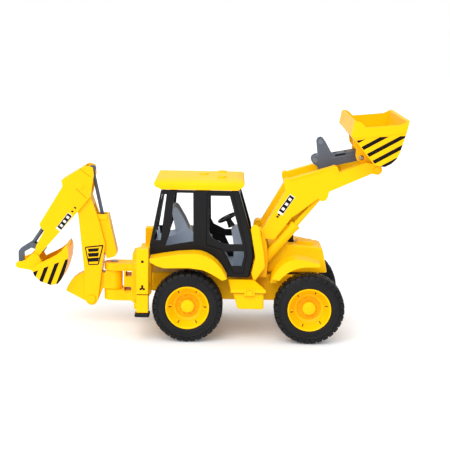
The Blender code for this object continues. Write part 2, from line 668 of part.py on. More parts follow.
def lift_cylinder(name, side):
    """A flattened barrel hinged on the tower, with its rod reaching the lug on the arm."""
    middle = (ARM_IN + ARM_OUT) / 2 * side
    foot = point(LIFT_FOOT[0], middle, LIFT_FOOT[1])
    head = point(LIFT_HEAD[0], middle, LIFT_HEAD[1])
    along = (head - foot).normalized()
    reach = (head - foot).length / MM
    turn = pivot(f"lift_barrel_{name}_axis", LIFT_FOOT[0], middle, LIFT_FOOT[1])

    def at(distance):
        return foot + along * distance * MM

    barrel = rod(f"lift_barrel_{name}", at(2.5), at(LIFT_BARREL), 6.0, squash=0.6)
    join(barrel, rod("collar", at(LIFT_BARREL - 4), at(LIFT_BARREL), 6.8, squash=0.53),
         pin("eye", LIFT_FOOT, mirrored((28.4, 35.6), side), 5.2))
    cut(barrel, rod("bore", at(7), at(LIFT_BARREL + 3), 3.7, squash=0.72),
        pin("eye_hole", LIFT_FOOT, mirrored((26, 38), side), 2.6))
    finish(barrel, YELLOW, turn)
    slide = pivot(f"lift_rod_{name}_axis", LIFT_HEAD[0], middle, LIFT_HEAD[1], turn)
    bar = rod(f"lift_rod_{name}", at(reach - 55), at(reach), 3.3, squash=0.7)
    join(bar, pin("rod_end", LIFT_HEAD, mirrored((29.7, 34.3), side), 3.3))
    finish(bar, YELLOW, slide)


def front_bucket(arm_turn):
    """An open scoop with end plates, and two brackets behind for the arm and link pins."""
    turn = pivot("front_bucket_axis", BUCKET_PIVOT[0], 0, BUCKET_PIVOT[1], arm_turn)
    outer = [(168, 266), (173, 266), (177, 264), (182, 259.2), (221, 263), (231, 268),
             (228, 254), (221, 230), (217.5, 223.4), (212, 218.2), (205, 214.5), (200.4, 214.8),
             (192.6, 216.7), (169, 245), (165, 249.5)]
    inner = [(170.6, 280), (170.6, 266), (167.8, 250.2), (171.4, 246.4), (194.6, 219.6),
             (201.4, 217.4), (204.4, 217.2), (210.4, 220.2), (215.2, 224.8), (218.6, 231), (225.5, 254.7),
             (228.2, 267.6), (228.2, 280)]
    bracket = [(172, 242), (173.4, 232), (177, 227.4), (176.4, 220), (178.6, 214.6),
               (184.6, 212.2), *arc(BUCKET_PIVOT, 6.0, 215, 395, 8), (207.5, 215.6), (200, 216)]
    shell = slab("front_bucket", [outer], (-BUCKET_HALF, BUCKET_HALF))
    hollow = slab("hollow", [inner], (-BUCKET_HALF + BUCKET_WALL, BUCKET_HALF - BUCKET_WALL))
    plate = [(160, 246.3), (196.2, 248.9), (227.6, 254.6), (240, 254.6), (240, 200), (160, 200)]
    for name, side in SIDES:
        cut(shell, slab("end_recess", [plate], mirrored((BUCKET_HALF - 0.7, 81), side)))
    ears = [slab("ear", [bracket], mirrored((22.2, 25.6), side)) for name, side in SIDES]
    cut(join(shell, *ears), hollow, pin("pivot_bore", BUCKET_PIVOT, (-30, 30), 2.8),
        pin("link_bore", LINK_PIN, (-30, 30), 2.6))
    finish(shell, YELLOW, turn)
    shaft = pin("bucket_shaft", BUCKET_PIVOT, (-39.5, 39.5), 2.4)
    join(shaft, *[pin("head", BUCKET_PIVOT, mirrored((38.4, 40), side), 3.6)
                  for name, side in SIDES])
    finish(shaft, YELLOW, arm_turn)
    return turn


def tilt_link(bucket_turn):
    """The grey push link: a channel pinned to the bucket, with two upright ears."""
    turn = pivot("tilt_link_axis", LINK_PIN[0], 0, LINK_PIN[1], bucket_turn)
    outline = [*arc(LINK_PIN, 5.0, -100, 80, 8), (178, 225), (150, 219.6), (141.2, 235.2),
               (139, 238), (136, 238.8), (133, 237.4), (131.6, 234), (133.4, 218.6),
               (129, 217.6), (125.8, 214.8), (125.2, 210.8), (128, 207.4), (133.6, 204),
               *arc(LINK_TAIL, 4.2, 180, 360, 6), (146.5, 204.4)]
    hollow = [(146.4, 198), (147.6, 215.6), (150, 216.6), (176.4, 221.6), (180, 204)]
    link = slab("tilt_link", [outline], (-11.5, 11.5))
    cut(link, slab("underside", [hollow], (-9, 9)),
        slab("between_ears", [[(120, 219.4), (120, 245), (150, 245), (147, 219.4)]], (-8.4, 8.4)),
        slab("clevis", [[(120, 200), (120, 220), (131.4, 220), (131.4, 200)]], (-4.5, 4.5)),
        block("slot", (151.5, 156), (-6, 6), (214, 225)),
        block("slot_front", (165, 168), (-6, 6), (216, 228)))
    join(link, pin("trunnion", LINK_PIN, (-25.4, 25.4), 2.2))
    finish(link, GREY, turn)


# ---- backhoe ----------------------------------------------------------------------------
def rear_frame():
    """Two square rails across the back, tied to the chassis by plates; the carriage slides."""
    reach = STABILISER_Y[0] - GAP
    upper = block("rear_frame", (-84, -72), (-reach, reach), RAIL_TOP)
    lower = block("lower_rail", (-84, -72), (-reach, reach), RAIL_LOW)
    plates = [slab("plate", [[(-74, 36), (-74, 92), (-69.6, 92), (-65.8, 80), (-65.8, 47)]],
                   mirrored((20, 24.5), side)) for name, side in SIDES]
    back = block("back_wall", (-73.5, -70), (-reach, reach), (56, 62))
    ends = [block("end_plate", (-80, -70), mirrored((reach - 3, reach), side), (38, 90))
            for name, side in SIDES]
    join(upper, lower, back, *plates, *ends)
    return finish(upper, YELLOW)


def stabiliser(name, side):
    """A fixed square housing with a leg that slides down, and its pad."""
    housing = block(f"stabiliser_housing_{name}", STABILISER_X, mirrored(STABILISER_Y, side),
                    (57.2, 112))
    bevel(housing, 0.8, 1)
    x_mid = sum(STABILISER_X) / 2
    bore_y = mirrored((STABILISER_Y[0] + 1.7, STABILISER_Y[1] - 1.7), side)
    face_y = mirrored((72, 78), side)
    cut(housing, block("bore", (STABILISER_X[0] + 1.7, STABILISER_X[1] - 1.7), bore_y,
                       (50, 109.5)),
        pin("top_hole", (x_mid, 97), face_y, 1.5, 12))
    finish(housing, YELLOW)
    drop = pivot(f"stabiliser_{name}_axis", x_mid, sum(STABILISER_Y) / 2 * side, 35)
    leg_y = mirrored((STABILISER_Y[0] + 2, STABILISER_Y[1] - 2), side)
    leg = block(f"stabiliser_leg_{name}", STABILISER_X, mirrored(STABILISER_Y, side), (35, 56.9))
    bevel(leg, 0.8, 1)
    join(leg, block("inner_tube", (STABILISER_X[0] + 2, STABILISER_X[1] - 2), leg_y, (50, 107)))
    finish(leg, YELLOW, drop)
    pad = block(f"stabiliser_foot_{name}", (-82, -64.6), mirrored((59.6, 76.4), side),
                (30, 35 - GAP))
    bevel(pad, 1.0)
    finish(pad, BLACK, drop)


def carriage():
    """The sliding carriage: a back plate with an upper and a lower rounded fork plate."""
    slide = pivot("side_shift_axis", -86, 0, 60)
    plate = block("carriage", (-89.5, -84.3), (-19, 19), (33.5, 94.5))
    tongue = [(-84.3, -15), (-96, -12.6), *arc((SWING_X, 0), 12.6, 270, 90, 10), (-96, 12.6),
              (-84.3, 15)]
    join(plate, slab("upper_fork", [tongue], (71.4, 80.4), "Z"),
         slab("lower_fork", [tongue], (34.2, 47.2), "Z"),
         block("upper_hook", (-89.5, -71.4), (-17, 17), (92.3, 94.5)),
         block("lower_hook", (-89.5, -71.4), (-17, 17), (33.5, 35.7)),
         block("web", (-100.4, -88), (-14, 14), (46, 73)))
    cut(plate, rod("swing_bore", point(SWING_X, 0, 20), point(SWING_X, 0, 100), 3.6),
        slab("slot", [[(-98.4, 64.5), (-98.4, 71.6), (-90.6, 71.6), (-90.6, 66), (-92, 64.5)]],
             (-25, 25)),
        slab("slot_low", [[(-100, 46.6), (-100, 52), (-92.4, 52), (-91, 50.6), (-91, 48),
                           (-92.4, 46.6)]], (-25, 25)))
    finish(plate, YELLOW, slide)
    return slide


def kingpost(slide):
    """The swinging post: a hub between the fork plates and a rounded plate for the boom."""
    turn = pivot("swing_axis", SWING_X, 0, 60, slide)
    hub = rod("kingpost", point(SWING_X, 0, 47.6), point(SWING_X, 0, 71.0), 10.0, sides=24)
    neck = [(-111, 48), (-111, 70.6), (-122, 70.6), (-125.4, 66), (-125.4, 48)]
    tongue = [*arc(BOOM_PIVOT, 7.6, 225, 330, 5), (-126.4, 48), (-124, 48.4), (-124, 67), (-130, 68.5),
              *arc(BOOM_PIVOT, 33.5, 93, 165, 9)]
    join(hub, slab("neck", [neck], (-9.5, 9.5)), slab("tongue", [tongue], (-7.8, 7.8)))
    cut(hub, rod("swing_bore", point(SWING_X, 0, 30), point(SWING_X, 0, 90), 3.6),
        pin("boom_bore", BOOM_PIVOT, (-12, 12), 3.3))
    finish(hub, YELLOW, turn)
    bolt = rod("swing_pin", point(SWING_X, 0, 33.2), point(SWING_X, 0, 81.4), 3.2)
    join(bolt, rod("head", point(SWING_X, 0, 80.7), point(SWING_X, 0, 81.4), 4.6))
    finish(bolt, STEEL, slide)
    return turn


def boom(swing):
    """A tapering box beam with a forked foot and the dipper cylinder's casing on its back."""
    turn = pivot("boom_axis", BOOM_PIVOT[0], 0, BOOM_PIVOT[1], swing)
    outline = [*arc(BOOM_PIVOT, 7.8, 175, 345, 8), (-123.4, 104.5), (-130.4, 132),
               (-141.8, 165), *arc(DIPPER_PIVOT, 9.5, 10, 165, 8), (-160.6, 158), (-156.2, 141),
               (-149, 70)]
    casing = [(-126, 100), (-133.6, 140.6), (-119.9, 140.6), (-109.7, 94.6), (-109.6, 91.6),
              (-112.2, 88.4), (-121.8, 85.6)]
    inside = [(-140, 152), (-123.4, 152), (-121.8, 140.6), (-112.4, 94.4), (-114, 91.4),
              (-121, 89.4), (-134, 91), (-139, 120)]
    beam = slab("boom", [outline], (-BOOM_HALF, BOOM_HALF))
    barrel = slab("casing", [casing], (-9.5, 9.5))
    fork = [(-185, 20), (-185, 76), (-134, 76), (-120, 60), (-120, 20)]
    cut(join(beam, barrel), slab("casing_bore", [inside], (-6.5, 6.5)),
        slab("fork_gap", [fork], (-8.3, 8.3)),
        pin("foot_bore", BOOM_PIVOT, (-20, 20), 3.3))
    join(beam, pin("studs", DIPPER_PIVOT, (-15.2, 15.2), 4.0))
    finish(beam, YELLOW, turn)
    bolt = pin("boom_pin", BOOM_PIVOT, (-BOOM_HALF - 1.6, BOOM_HALF + 1.6), 3.0)
    join(bolt, *[pin("head", BOOM_PIVOT, mirrored((BOOM_HALF + GAP, BOOM_HALF + 2), side), 5.0)
                 for name, side in SIDES])
    finish(bolt, YELLOW, swing)
    return turn


def dipper(boom_turn):
    """The outer arm: a box round the boom's tip, with the bucket cylinder's casing on top."""
    turn = pivot("dipper_axis", DIPPER_PIVOT[0], 0, DIPPER_PIVOT[1], boom_turn)
    outline = [(-148, 199.8), (-144.6, 200.8), (-138, 198.8), (-136.8, 189), (-141, 163),
               (-157.4, 143), (-203.6, 90), (-209, 79.6), (-214.4, 84), (-210, 92),
               (-207, 102), (-197.4, 120.4), (-202.2, 124.8), (-202.8, 129), (-174.6, 175.6),
               (-176.2, 182.4)]
    room = [(-166.5, 176), (-164, 186), (-147.8, 199.2), (-146, 208), (-118, 208), (-112, 170),
            (-118, 120), (-158.6, 136), (-161.8, 150), (-165.5, 163)]
    casing_bore = [(-209, 117), (-194, 111), (-166.8, 160), (-171, 170), (-176.4, 167.6),
                   (-201, 127.4)]
    body = slab("dipper", [outline], (-DIPPER_HALF, DIPPER_HALF))
    cut(body, slab("boom_room", [room], (-BOOM_HALF - GAP, BOOM_HALF + GAP)),
        slab("cylinder_bore", [casing_bore], (-4, 4)),
        pin("stud_bore", DIPPER_PIVOT, (-20, 20), 4.4),
        pin("bucket_bore", DIG_PIVOT, (-20, 20), 2.9),
        slab("rocker_slot", [[(-222, 70), (-222, 112), (-203, 122), (-188, 124), (-188, 104),
                              (-194, 90), (-194, 70)]], (-7.2, 7.2)))
    join(body, pin("eye_pin", DIPPER_EYE, (-14.6, 14.6), 1.6, 12),
         pin("rocker_pin", ROCKER_PIVOT, (-8, 8), 1.6, 12))
    finish(body, YELLOW, turn)
    return turn


def dipper_rod(dipper_turn):
    """The grey rod that hangs from the dipper's eye down into the boom's casing."""
    turn = pivot("dipper_rod_axis", DIPPER_EYE[0], 0, DIPPER_EYE[1], dipper_turn)
    eye = point(DIPPER_EYE[0], 0, DIPPER_EYE[1])
    foot = point(CASING_FOOT[0], 0, CASING_FOOT[1])
    along = (foot - eye).normalized()
    bar = rod("dipper_rod", eye + along * 2 * MM, eye + along * 61 * MM, 2.2)
    join(bar, pin("rod_eye", DIPPER_EYE, (-4, 4), 4.4))
    cut(bar, pin("eye_hole", DIPPER_EYE, (-6, 6), 2.1, 12))
    finish(bar, GREY, turn)


def bucket_linkage(dipper_turn):
    """The rocker on the dipper, and the bucket cylinder's rod hinged on the rocker's head."""
    swing = pivot("rocker_axis", ROCKER_PIVOT[0], 0, ROCKER_PIVOT[1], dipper_turn)
    turn = pivot("bucket_rod_axis", ROCKER_HEAD[0], 0, ROCKER_HEAD[1], swing)
    head = point(ROCKER_HEAD[0], 0, ROCKER_HEAD[1])
    along = (point(ROD_AIM[0], 0, ROD_AIM[1]) - head).normalized()
    bar = rod("bucket_rod", head + along * 3 * MM, head + along * 50 * MM, 2.5)
    join(bar, pin("rod_end", ROCKER_HEAD, (-2.6, 2.6), 3.4))
    finish(bar, GREY, turn)
    away = atan2(ROCKER_HEAD[1] - ROCKER_PIVOT[1], ROCKER_HEAD[0] - ROCKER_PIVOT[0]) * 180 / pi
    plan = [*arc(ROCKER_HEAD, 3.2, away - 90, away + 90, 6),
            *arc(ROCKER_PIVOT, 3.4, away + 90, away + 270, 6)]
    arms = [slab("rocker", [plan], mirrored((5.2, 6.7), side)) for name, side in SIDES]
    rocker = join(arms[0], arms[1],
                  pin("bridge", (ROCKER_PIVOT[0], ROCKER_PIVOT[1]), (-6, 6), 3.0))
    rocker.name = "rocker_link"
    cut(rocker, pin("rocker_bore", ROCKER_PIVOT, (-9, 9), 1.9, 12))
    finish(rocker, GREY, swing)


def digging_bucket(dipper_turn):
    """The curved backhoe bucket with its toothed lip and two ears for the pivot and link."""
    turn = pivot("digging_bucket_axis", DIG_PIVOT[0], 0, DIG_PIVOT[1], dipper_turn)
    outer = [(-212, 74), (-208.6, 66), (-201, 58.8), (-188, 54.4), (-180, 56.4), (-175.4, 62),
             (-171.8, 70), (-168, 83), (-167, 92), (-167.2, 98.6), (-169.4, 104.6), (-172, 101.6),
             (-176, 96.4), (-181.4, 92.2), (-188, 88.4), (-203, 81)]
    inner = [(-171.4, 106.6), (-169.6, 98.6), (-169.3, 92), (-170.2, 84), (-174, 71.2),
             (-177.2, 63.8), (-181.2, 58.6), (-188, 56.8), (-199.8, 60.8), (-206.4, 67.2),
             (-208.6, 72.6), (-202.8, 77.6), (-199.5, 92), (-178, 118)]
    ear = [*arc(DIG_EAR, 4.2, 60, 275, 9), (-214, 71.6), (-205, 66), (-196, 74), (-200, 82),
           *arc(DIG_PIVOT, 6.0, 10, 140, 6), (-219, 84.6)]
    shell = slab("digging_bucket", [outer], (-DIG_HALF, DIG_HALF))
    ears = [slab("ear", [ear], mirrored((DIPPER_HALF + GAP, DIPPER_HALF + 2.8), side))
            for name, side in SIDES]
    hollow = slab("hollow", [inner], (-DIG_HALF + 2.2, DIG_HALF - 2.2))
    notches = [block("notch", (-180, -150), (y - 2.6, y + 2.6), (99.4, 120))
               for y in (-13.8, -4.6, 4.6, 13.8)]
    join(cut(shell, hollow), *ears)
    cut(shell, *notches)
    join(shell, pin("studs_right", DIG_PIVOT, (-DIPPER_HALF - 1, -8), 2.5),
         pin("studs_left", DIG_PIVOT, (8, DIPPER_HALF + 1), 2.5),
         pin("ear_pin", DIG_EAR, (-DIPPER_HALF - 1, DIPPER_HALF + 1), 1.6, 12))
    finish(shell, YELLOW, turn)
    swing = pivot("bucket_link_axis", DIG_EAR[0], 0, DIG_EAR[1], turn)
    bend = [(-231, 78), (-231, 92), (-228.4, 95.6), (-215.6, 103.8), (-213.6, 100.2),
            (-213.2, 97.6), (-224.6, 90.8), (-225, 78), (-226.4, 75.6), (-229.6, 75.6)]
    link = slab("bucket_link", [bend], (-4.6, 4.6))
    cut(link, slab("rod_gap", [[(-222, 90), (-222, 110), (-205, 110), (-205, 90)]], (-3, 3)),
        pin("ear_hole", DIG_EAR, (-8, 8), 1.9, 12))
    finish(link, GREY, swing)


# ---- the whole machine ------------------------------------------------------------------
def build():
    chassis_frame()
    rear_axle()
    front_axle_beam()
    engine_block()
    for name, side in SIDES:
        wheel("rear", REAR_AXLE, name, side)
        wheel("front", FRONT_AXLE, name, side, steering_knuckle(name, side))
        rear_fender(name, side)
        front_fender(name, side)
        side_box(name, side)
        loader_tower(name, side)
        door(name, side)
        stabiliser(name, side)
        lift_cylinder(name, side)
    tie_rod()
    cab_frame()
    cab_interior()
    driver_seat()
    steering_wheel()
    cab_roof()
    exhaust_stack(hood())
    arm_turn = loader_arms()
    tilt_link(front_bucket(arm_turn))
    rear_frame()
    swing = kingpost(carriage())
    dipper_turn = dipper(boom(swing))
    dipper_rod(dipper_turn)
    bucket_linkage(dipper_turn)
    digging_bucket(dipper_turn)


build()
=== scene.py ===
"""Looks of the toy backhoe loader: moulded plastic surfaces, lugged tyres, dished rims,
hazard stripes, stickers and small moulded details, in soft studio light.

The helpers take millimetres in the model's own frame; Blender's units stay metres.
"""

from math import cos, pi, radians, sin

import bmesh
import bpy
from mathutils import Matrix, Vector


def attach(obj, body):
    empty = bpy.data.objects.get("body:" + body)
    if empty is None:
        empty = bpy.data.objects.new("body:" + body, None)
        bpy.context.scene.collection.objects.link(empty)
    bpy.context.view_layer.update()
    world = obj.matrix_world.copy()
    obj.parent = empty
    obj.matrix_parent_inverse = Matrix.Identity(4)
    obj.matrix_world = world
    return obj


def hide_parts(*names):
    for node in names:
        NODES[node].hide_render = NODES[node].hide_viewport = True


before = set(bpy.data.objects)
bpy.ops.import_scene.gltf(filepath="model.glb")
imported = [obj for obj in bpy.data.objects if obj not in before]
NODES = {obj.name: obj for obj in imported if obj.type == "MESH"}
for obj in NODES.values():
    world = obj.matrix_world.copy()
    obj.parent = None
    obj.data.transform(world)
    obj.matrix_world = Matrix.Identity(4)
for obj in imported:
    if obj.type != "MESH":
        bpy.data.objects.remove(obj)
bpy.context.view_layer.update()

MM = 0.001
SIDES = (("right", -1), ("left", 1))

# ---- driving dimensions, in millimetres -----------------------------------------------
# wheels: |Y| of the tyre's two sides, radii, counts, and where each pattern starts in radians
TYRE_OUT, TYRE_IN = 75.0, 47.0
TREAD_R = 41.76
LUGS = 32
BOLTS, BOLT_CIRCLE = 10, 10.7
CLEATS = 6
WHEEL_STEPS = 96
REAR_AXLE = (-20.0, 42.0)      # X, Z
FRONT_AXLE = (124.0, 42.0)
REAR_TURN, FRONT_TURN = -0.10, 0.07

# |Y| of the flat sides that carry a detail
ARM_FACE = 38.0
BOOM_FACE = 13.0
BOX_FACE = 73.0
BRACKET_FACE = 25.6
CASING_FACE = 9.5
DIPPER_FACE = 16.0
LATCH_FACE = 74.2
LINK_FACE = 11.5
STABILISER_FACE = 75.0
DOOR_STOP_SPAN = (46.8, 47.4)
ARM_WEB_SPAN = (26.7, 27.7)

# where small details sit, as X, Z
LINK_PIN = (183.3, 218.0)
DIPPER_PIVOT = (-153.0, 175.5)
STABILISER_HOLE = (-73.0, 97.0)
STABILISER_LOBES = (-73.0, 65.4)

PRINT_LAYERS = (0.0, 0.07, 0.11, 0.15)    # heights of a sticker's layers above its face
FILM = 0.06                    # how far a dark line or mark stands out
SMOOTH_BELOW = 32              # degrees between faces that shade as one

# ---- viewpoint and light: millimetres, degrees and strengths -----------------------------
EYE = (30.5, -1401.2, 387.9)
YAW, PITCH, ROLL = -0.3321, 10.4786, 1.0370
LENS = 92.92
KEY_AIM = (0.35, 0.85, -0.75)
KEY_POWER, KEY_SPREAD = 1.9, 50
SKY_LOW, SKY_HIGH = 0.5, 1.35  # strength of the surround, at its weakest and overhead
FLOOR_RADIUS, FLOOR_STEPS = 6.0, 24    # metres
FLOOR_DROP = 0.0002            # metres below the wheels
FLOOR_GLOW = 0.08
WHITE_LIGHT = (1.0, 1.0, 1.0, 1.0)


# ---- node helpers -----------------------------------------------------------------------
class Graph:
    """A material's node tree with short calls for the nodes used here."""

    def __init__(self, name):
        self.material = bpy.data.materials.new(name)
        self.material.use_nodes = True
        self.tree = self.material.node_tree
        self.shader = self.tree.nodes["Principled BSDF"]
        place = self.tree.nodes.new("ShaderNodeTexCoord")
        self.place, self.facing = place.outputs["Object"], place.outputs["Normal"]

    def link(self, value, socket):
        if isinstance(value, bpy.types.NodeSocket):
            self.tree.links.new(value, socket)
        else:
            socket.default_value = value

    def math(self, operation, first, second=0.0):
        node = self.tree.nodes.new("ShaderNodeMath")
        node.operation = operation
        for value, socket in zip((first, second), node.inputs):
            self.link(value, socket)
        return node.outputs[0]

    def split(self, vector):
        node = self.tree.nodes.new("ShaderNodeSeparateXYZ")
        self.link(vector, node.inputs[0])
        return node.outputs

    def noise(self, scale, detail=2.0, roughness=0.5):
        node = self.tree.nodes.new("ShaderNodeTexNoise")
        node.inputs["Scale"].default_value = scale
        node.inputs["Detail"].default_value = detail
        node.inputs["Roughness"].default_value = roughness
        self.link(self.place, node.inputs["Vector"])
        return node.outputs["Fac"]

    def spread(self, value, low, high, start=0.3, end=0.7):
        """Map value, from start to end, onto low to high."""
        node = self.tree.nodes.new("ShaderNodeMapRange")
        for number, socket in zip((value, start, end, low, high), node.inputs):
            self.link(number, socket)
        return node.outputs[0]

    def mix(self, factor, first, second):
        node = self.tree.nodes.new("ShaderNodeMix")
        node.data_type = "RGBA"
        self.link(factor, node.inputs[0])
        self.link(first, node.inputs[6])
        self.link(second, node.inputs[7])
        return node.outputs[2]

    def bump(self, height, strength, distance, normal=None):
        node = self.tree.nodes.new("ShaderNodeBump")
        node.inputs["Strength"].default_value = strength
        node.inputs["Distance"].default_value = distance * MM
        self.link(height, node.inputs["Height"])
        if normal is not None:
            self.link(normal, node.inputs["Normal"])
        return node.outputs[0]

    def along(self, direction):
        """Distance in millimetres along a direction given as (x, y, z)."""
        parts = [self.math("MULTIPLY", axis, part / MM)
                 for axis, part in zip(self.split(self.place), direction) if part]
        total = parts[0]
        for part in parts[1:]:
            total = self.math("ADD", total, part)
        return total


def colour(red, green, blue):
    return (red, green, blue, 1.0)


def plastic(name, light, dark, rough, speck=0.02, ior=1.34):
    """Moulded plastic: a slow drift between two shades, handling marks and fine grain."""
    g = Graph(name)
    drift = g.spread(g.noise(14.0, 3.0), 0.0, 1.0)
    base = g.mix(drift, colour(*light), colour(*dark))
    dust = g.spread(g.noise(420.0, 2.0, 0.6), 0.0, speck, 0.55, 0.75)
    base = g.mix(dust, base, colour(0.75, 0.72, 0.62))
    g.link(base, g.shader.inputs["Base Color"])
    haze = g.spread(g.noise(46.0, 4.0, 0.62), rough - 0.05, rough + 0.09)
    g.link(haze, g.shader.inputs["Roughness"])
    grain = g.bump(g.noise(1900.0, 2.0), 0.16, 0.05)
    g.link(g.bump(g.noise(55.0, 2.0), 0.12, 0.25, grain), g.shader.inputs["Normal"])
    g.shader.inputs["IOR"].default_value = ior
    return g


def inked(g, mask):
    """Lay flat black ink over a plastic where the mask is one."""
    socket = g.shader.inputs["Base Color"]
    under = socket.links[0].from_socket
    mottled = g.mix(g.spread(g.noise(300.0), 0.0, 1.0), colour(0.0030, 0.0026, 0.0022),
                    colour(0.006, 0.005, 0.0045))
    g.link(g.mix(mask, under, mottled), socket)
    return g


def stripes(g, angle, first, pitch, width, edges, face):
    """A mask of slanting stripes on both side faces.

    first is where one stripe starts, measured square to the stripes; edges are the border
    lines (x, z, c) of the striped panel, inside where x*X + z*Z > c; face is the lowest |Y|.
    """
    turn = radians(angle)
    across = g.along((-sin(turn), 0.0, cos(turn)))
    phase = g.math("FRACT", g.math("DIVIDE", g.math("SUBTRACT", across, first), pitch))
    mask = g.math("LESS_THAN", phase, width / pitch)
    for x, z, limit in edges:
        mask = g.math("MULTIPLY", mask, g.math("GREATER_THAN", g.along((x, 0.0, z)), limit))
    outside = g.math("ABSOLUTE", g.along((0.0, 1.0, 0.0)))
    mask = g.math("MULTIPLY", mask, g.math("GREATER_THAN", outside, face))
    flat = g.math("ABSOLUTE", g.split(g.facing)[1])
    return g.math("MULTIPLY", mask, g.math("GREATER_THAN", flat, 0.8))


def border(start, end):
    """The line through two (X, Z) points as (x, z, c), inside to its left."""
    (x0, z0), (x1, z1) = start, end
    length = ((x1 - x0) ** 2 + (z1 - z0) ** 2) ** 0.5
    x, z = -(z1 - z0) / length, (x1 - x0) / length
    return x, z, x * x0 + z * z0


YELLOW_LIGHT = (0.97, 0.550, 0.0)
YELLOW_DARK = (0.94, 0.500, 0.0)


def yellow(name):
    return plastic(name, YELLOW_LIGHT, YELLOW_DARK, 0.36, 0.004, 1.2)


def tyre_rubber():
    """Dark rubber: dusty in patches, with a fine mould texture."""
    g = Graph("tyre_rubber")
    dusty = g.spread(g.noise(30.0, 4.0, 0.6), 0.0, 1.0, 0.35, 0.75)
    base = g.mix(dusty, colour(0.0045, 0.0046, 0.0058), colour(0.0085, 0.0085, 0.0095))
    g.link(base, g.shader.inputs["Base Color"])
    g.link(g.spread(g.noise(90.0, 3.0), 0.46, 0.66), g.shader.inputs["Roughness"])
    grain = g.bump(g.noise(1300.0, 3.0, 0.6), 0.35, 0.08)
    g.link(grain, g.shader.inputs["Normal"])
    g.shader.inputs["IOR"].default_value = 1.3
    return g.material


def bright_steel():
    """Bright metal, rubbed duller in patches, with a fine grain."""
    g = Graph("turned_steel")
    rub = g.spread(g.noise(160.0, 3.0), 0.0, 1.0)
    base = g.mix(rub, colour(0.40, 0.37, 0.34), colour(0.22, 0.20, 0.18))
    g.link(base, g.shader.inputs["Base Color"])
    g.link(g.spread(g.noise(600.0, 2.0), 0.22, 0.42), g.shader.inputs["Roughness"])
    g.link(g.bump(g.noise(1500.0, 2.0), 0.2, 0.03), g.shader.inputs["Normal"])
    g.shader.inputs["Metallic"].default_value = 1.0
    return g.material


def sticker_white():
    """A printed white film with a faint paper mottle."""
    g = Graph("sticker_white")
    tone = g.spread(g.noise(240.0, 3.0), 0.0, 1.0)
    g.link(g.mix(tone, colour(0.86, 0.86, 0.84), colour(0.78, 0.78, 0.75)),
           g.shader.inputs["Base Color"])
    g.link(g.spread(g.noise(120.0), 0.28, 0.4), g.shader.inputs["Roughness"])
    return g.material


YELLOW = yellow("yellow_plastic_look").material
BLACK = plastic("black_plastic_look", (0.0055, 0.0055, 0.0068), (0.0038, 0.0038, 0.0048), 0.34,
                0.004, 1.28).material
GREY = plastic("grey_plastic_look", (0.092, 0.112, 0.150), (0.076, 0.092, 0.126), 0.38,
               0.01).material
# lighter grey: a painted highlight on the tilt link's raised bosses and rib
HIGHLIGHT_GREY = plastic("painted_highlight_grey_look", (0.16, 0.19, 0.245), (0.12, 0.145, 0.19), 0.34,
                    0.01).material
PALE_GREY = plastic("seat_plastic_look", (0.36, 0.43, 0.54), (0.31, 0.37, 0.47), 0.34,
                    0.01).material
# dark brown: painted shade inside the rim slots and the stabiliser's holes, and the seam over the
# stabiliser leg
HOLE_SHADE_AND_SEAM = plastic("painted_hole_shade_and_seam_look", (0.030, 0.012, 0.004), (0.022, 0.009, 0.003), 0.6, 0.0,
                1.2).material
# dark amber yellow: painted shade in grooves, under the side box's lid and round its latch, and
# in the dipper's moulded lines
GROOVE_SHADE = plastic("painted_groove_shade_look", (0.42, 0.17, 0.0), (0.34, 0.13, 0.0), 0.5, 0.0, 1.2).material
RUBBER = tyre_rubber()
STEEL = bright_steel()
WHITE = sticker_white()
INK = plastic("sticker_ink", (0.004, 0.004, 0.004), (0.007, 0.0065, 0.006), 0.4, 0.0,
              1.2).material


def loader_bucket_look():
    """Yellow with rising black stripes on the lower part of both end plates."""
    g = yellow("striped_loader_bucket")
    edges = [border(*line) for line in (((196.2, 248.6), (160.0, 246.2)),
                                        ((227.6, 254.2), (196.2, 248.6)),
                                        ((170.4, 244.8), (193.0, 217.8)))]
    return inked(g, stripes(g, 29.5, 94.6, 10.03, 4.45, edges, 78.5)).material


def digging_bucket_look():
    """Yellow with steep black stripes on both end plates of the digging bucket."""
    g = yellow("striped_digging_bucket")
    top = border((-206.0, 72.0), (-171.0, 86.3))
    edges = [tuple(-value for value in top), border((-166.6, 70.0), (-165.4, 90.0))]
    return inked(g, stripes(g, 69.5, 206.1, 10.25, 4.6, edges, 23.5)).material


def rim_look():
    """Yellow that warms towards orange deep inside the dish, as bounced light does."""
    g = yellow("dished_rim_look")
    socket = g.shader.inputs["Base Color"]
    under = socket.links[0].from_socket
    outward = g.math("ABSOLUTE", g.along((0.0, 1.0, 0.0)))
    depth = g.spread(outward, 0.55, 0.0, 60.0, 73.0)
    g.link(g.mix(depth, under, colour(0.93, 0.33, 0.0)), socket)
    return g.material


RIM = rim_look()
LOOKS = {"yellow_plastic": YELLOW, "black_plastic": BLACK, "grey_plastic": GREY,
         "tyre": RUBBER, "steel": STEEL}
OWN_LOOK = {"front_bucket": loader_bucket_look(), "digging_bucket": digging_bucket_look(),
            "driver_seat": PALE_GREY, "cab_interior": PALE_GREY}

# ---- edges and materials of the moulded parts ---------------------------------------------
EDGE = 0.45
FINE_EDGE = {"cab_frame": 0.35, "door_right": 0.3, "door_left": 0.3, "steering_wheel": 0.0,
             "tie_rod": 0.25, "rocker_link": 0.25, "bucket_link": 0.4, "cab_roof": 1.6,
             "hood": 0.8, "rear_fender_right": 0.8, "rear_fender_left": 0.8,
             "front_fender_right": 0.6, "front_fender_left": 0.6, "loader_arms": 0.7,
             "boom": 0.7, "dipper": 0.6, "front_bucket": 0.5, "driver_seat": 0.9,
             "cab_interior": 0.6, "carriage": 0.7, "kingpost": 0.6}


